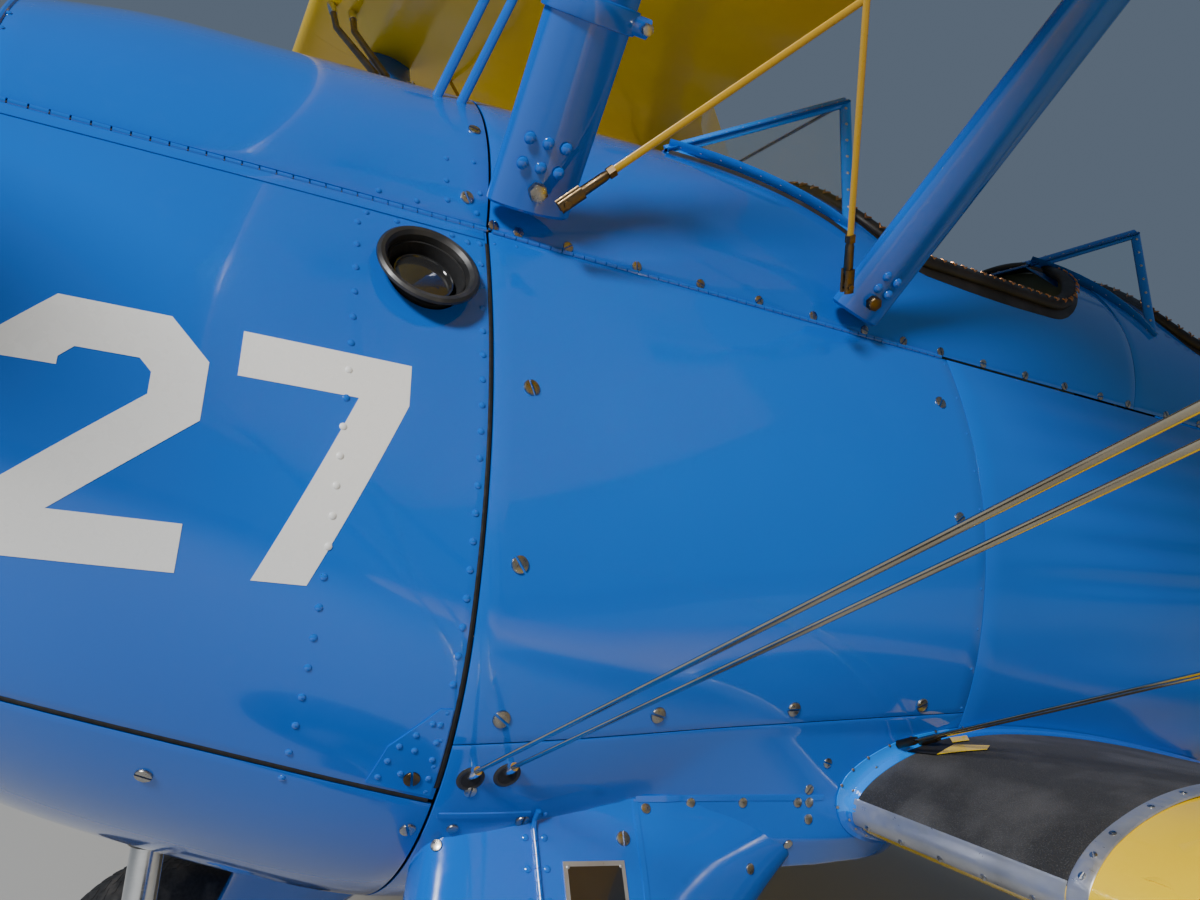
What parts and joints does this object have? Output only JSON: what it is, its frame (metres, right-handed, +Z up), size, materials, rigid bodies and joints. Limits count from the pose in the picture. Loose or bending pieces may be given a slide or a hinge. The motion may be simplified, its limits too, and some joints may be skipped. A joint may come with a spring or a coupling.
{
  "type": "two-seat open-cockpit biplane",
  "caption": "Open-cockpit trainer biplane on its own gear: radial engine, hinged cowl doors, braced wings, turning propeller and wheels, moving control surfaces.",
  "frame": {"origin": "on the floor, under the middle of the parked aircraft's box", "axes": "+X to the pilot's left, -Y towards the nose, +Z up; the fuselage is nose-up as it parks"},
  "size_m": [9.7912, 7.6338, 2.7614],
  "materials": {
    "blue_paint": "gloss",
    "yellow_paint": "gloss",
    "steel": "satin",
    "engine_grey": "satin",
    "propeller_alloy": "satin",
    "wheel_alloy": "satin",
    "tyre": "matte",
    "cockpit_green": "satin",
    "panel_black": "matte"
  },
  "bodies": {
    "airframe": {"fuselage_body": "blue_paint", "side_panel_left": "blue_paint", "side_panel_right": "blue_paint", "deck_front": "blue_paint", "deck_rear": "blue_paint", "firewall": "steel", "cockpit_floor": "cockpit_green", "seat_front": "cockpit_green", "instrument_panel_front": "panel_black", "seat_rear": "cockpit_green", "instrument_panel_rear": "panel_black", "cowl_bottom": "blue_paint", "cowl_top": "blue_paint", "oil_tank": "steel", "engine": "engine_grey", "exhaust_collector": "steel", "upper_wing_centre": "yellow_paint", "upper_wing_left": "yellow_paint", "upper_wing_right": "yellow_paint", "lower_wing_left": "yellow_paint", "lower_wing_right": "yellow_paint", "interplane_strut_left": "blue_paint", "interplane_strut_right": "blue_paint", "cabane_front_left": "blue_paint", "cabane_front_right": "blue_paint", "cabane_rear_left": "blue_paint", "cabane_rear_right": "blue_paint", "gear_leg_left": "blue_paint", "gear_leg_right": "blue_paint", "cabane_wires_left": "steel", "flying_wire_front_left": "steel", "flying_wire_rear_left": "steel", "landing_wire_left": "steel", "cabane_wires_right": "steel", "flying_wire_front_right": "steel", "flying_wire_rear_right": "steel", "landing_wire_right": "steel", "stabilizer_left": "yellow_paint", "stabilizer_right": "yellow_paint", "fin": "blue_paint", "tail_strut_left": "blue_paint", "tail_strut_right": "blue_paint", "windshield_front": "blue_paint", "windshield_rear": "blue_paint"},
    "propeller": {"propeller": "propeller_alloy"},
    "wheel_left": {"tyre_left": "tyre", "wheel_left": "wheel_alloy"},
    "wheel_right": {"tyre_right": "tyre", "wheel_right": "wheel_alloy"},
    "tail_fork": {"tailwheel_fork": "steel"},
    "tail_wheel": {"tailwheel": "tyre"},
    "aileron_left": {"aileron_left": "yellow_paint"},
    "aileron_right": {"aileron_right": "yellow_paint"},
    "elevators": {"elevator_left": "yellow_paint", "elevator_right": "yellow_paint"},
    "rudder": {"rudder": "yellow_paint"},
    "cowl_door_left": {"cowl_door_left": "blue_paint"},
    "cowl_door_right": {"cowl_door_right": "blue_paint"}
  },
  "joints": [
    {"name": "propeller_spin", "type": "hinge", "parent": "airframe", "child": "propeller", "pos_m": [0, -3.69166, 1.71149], "axis": [0, -0.9799, 0.1994], "continuous": true},
    {"name": "wheel_left_spin", "type": "hinge", "parent": "airframe", "child": "wheel_left", "pos_m": [0.978, -2.99815, 0.30499], "axis": [1, 0, 0], "continuous": true},
    {"name": "wheel_right_spin", "type": "hinge", "parent": "airframe", "child": "wheel_right", "pos_m": [-0.978, -2.99815, 0.30499], "axis": [1, 0, 0], "continuous": true},
    {"name": "tail_wheel_swivel", "type": "hinge", "parent": "airframe", "child": "tail_fork", "pos_m": [0, 2.76852, 0.13396], "axis": [0, 0.1994, 0.9799], "range_deg": [-30, 30]},
    {"name": "tail_wheel_spin", "type": "hinge", "parent": "tail_fork", "child": "tail_wheel", "pos_m": [0, 2.81261, 0.12499], "axis": [1, 0, 0], "continuous": true},
    {"name": "aileron_left_hinge", "type": "hinge", "parent": "airframe", "child": "aileron_left", "pos_m": [2.25, -0.97262, 0.71487], "axis": [0.9997, 0.0047, 0.0231], "range_deg": [-17, 23]},
    {"name": "aileron_right_hinge", "type": "hinge", "parent": "airframe", "child": "aileron_right", "pos_m": [-2.25, -0.97262, 0.71487], "axis": [0.9997, -0.0047, -0.0231], "range_deg": [-23, 23]},
    {"name": "elevator_hinge", "type": "hinge", "parent": "airframe", "child": "elevators", "pos_m": [0, 2.95273, 0.51274], "axis": [1, 0, 0], "range_deg": [-25, 28]},
    {"name": "rudder_hinge", "type": "hinge", "parent": "airframe", "child": "rudder", "pos_m": [0, 3.21681, 0.30594], "axis": [0, 0.1994, 0.9799], "range_deg": [-30, 30]},
    {"name": "cowl_door_left_hinge", "type": "hinge", "parent": "airframe", "child": "cowl_door_left", "pos_m": [0.378, -3.15927, 1.87054], "axis": [0.0839, -0.9823, 0.1677], "range_deg": [0, 78]},
    {"name": "cowl_door_right_hinge", "type": "hinge", "parent": "airframe", "child": "cowl_door_right", "pos_m": [-0.378, -3.15927, 1.87054], "axis": [0.0839, 0.9823, -0.1677], "range_deg": [0, 78]}
  ],
  "couplings": [
    {"joint": "aileron_right_hinge", "follows": "aileron_left_hinge", "ratio": -1}
  ]
}
